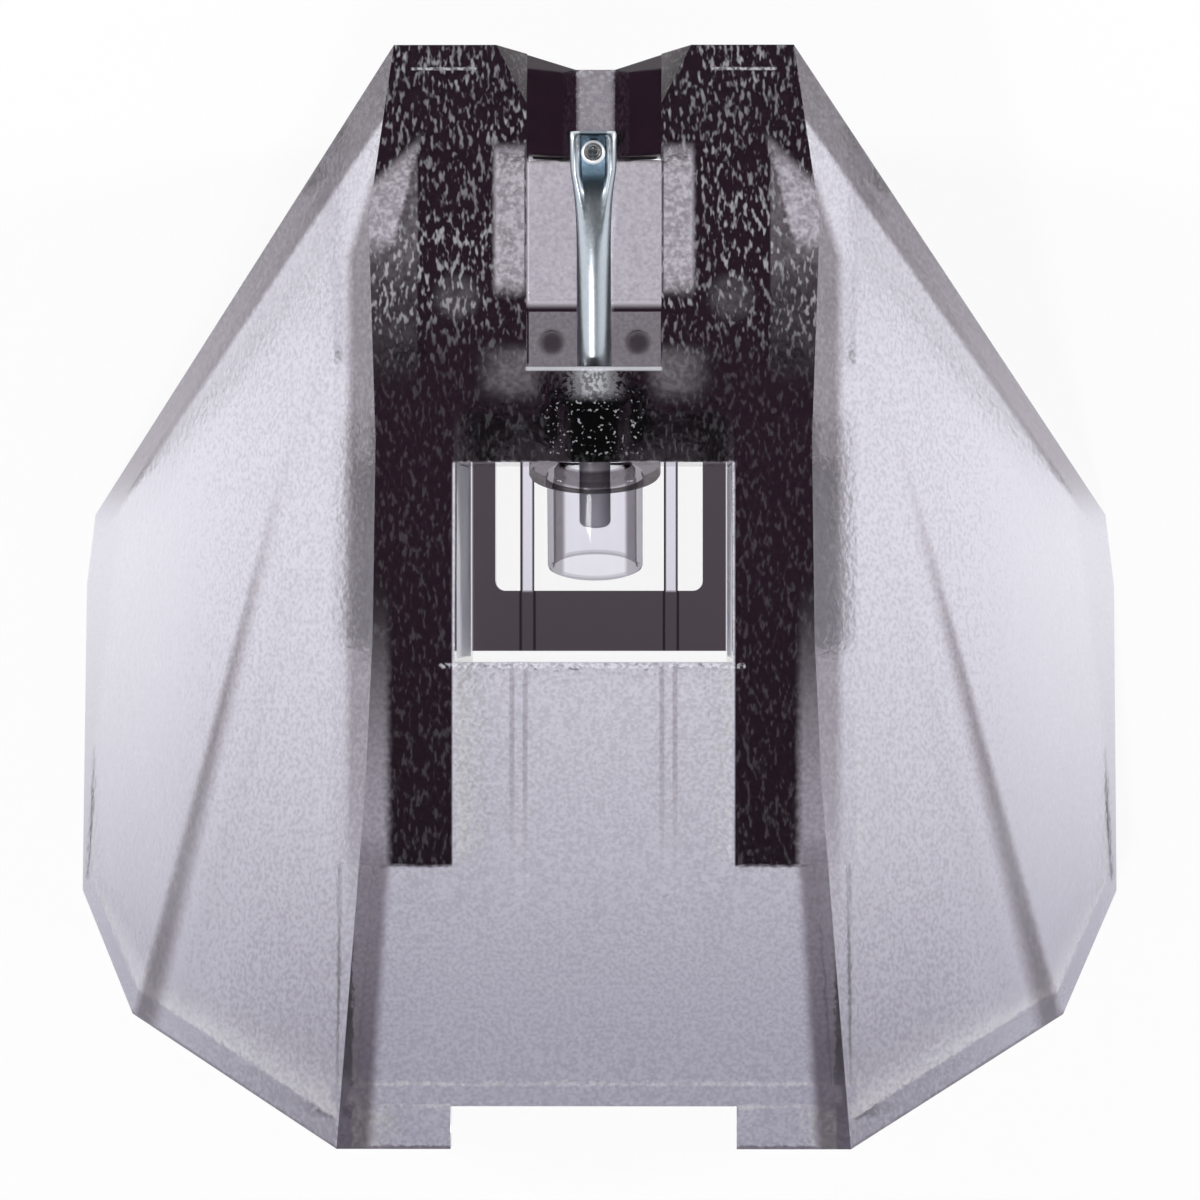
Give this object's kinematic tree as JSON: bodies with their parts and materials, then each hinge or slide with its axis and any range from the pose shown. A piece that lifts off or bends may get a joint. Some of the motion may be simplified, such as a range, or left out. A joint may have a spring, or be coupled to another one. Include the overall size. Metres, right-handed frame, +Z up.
{
  "type": "turntable replacement stylus",
  "caption": "Faceted clear grey stylus unit for a moving magnet turntable cartridge, with a tilted sprung stylus arm, a magnet in a clear sleeve and an open channel for the cartridge body.",
  "frame": {"origin": "middle of the bounding box, on the plane of the lower rim", "axes": "+Z up, the way the stylus points; +Y towards the nose, which is the front of the cartridge; +X to the right seen from above"},
  "size_m": [0.0178, 0.0184, 0.0082],
  "materials": {
    "clear_grey_plastic": "smoke grey clear plastic with a fine pebbled skin",
    "clear_plastic": "water clear, glossy",
    "damper_rubber": "matt black rubber",
    "magnet_metal": "dark ground magnet",
    "arm_aluminium": "bright drawn aluminium",
    "shank_metal": "polished shank",
    "diamond": "polished diamond"
  },
  "bodies": {
    "hood": {"housing": "clear_grey_plastic", "clear_sleeve": "clear_plastic"},
    "bearing": {"damper": "damper_rubber"},
    "arm": {"arm_tube": "arm_aluminium", "magnet": "magnet_metal", "stylus_shank": "shank_metal", "diamond": "diamond"}
  },
  "joints": [
    {"name": "arm_side", "type": "hinge", "parent": "hood", "child": "bearing", "pos_m": [0, 0.00281, 0.00614], "axis": [0, 0, 1], "range_deg": [-3, 3], "stiffness_Nm_per_rad": 0.00245},
    {"name": "arm_lift", "type": "hinge", "parent": "bearing", "child": "arm", "pos_m": [0, 0.00281, 0.00614], "axis": [1, 0, 0], "range_deg": [-4, 2], "stiffness_Nm_per_rad": 0.00245}
  ]
}
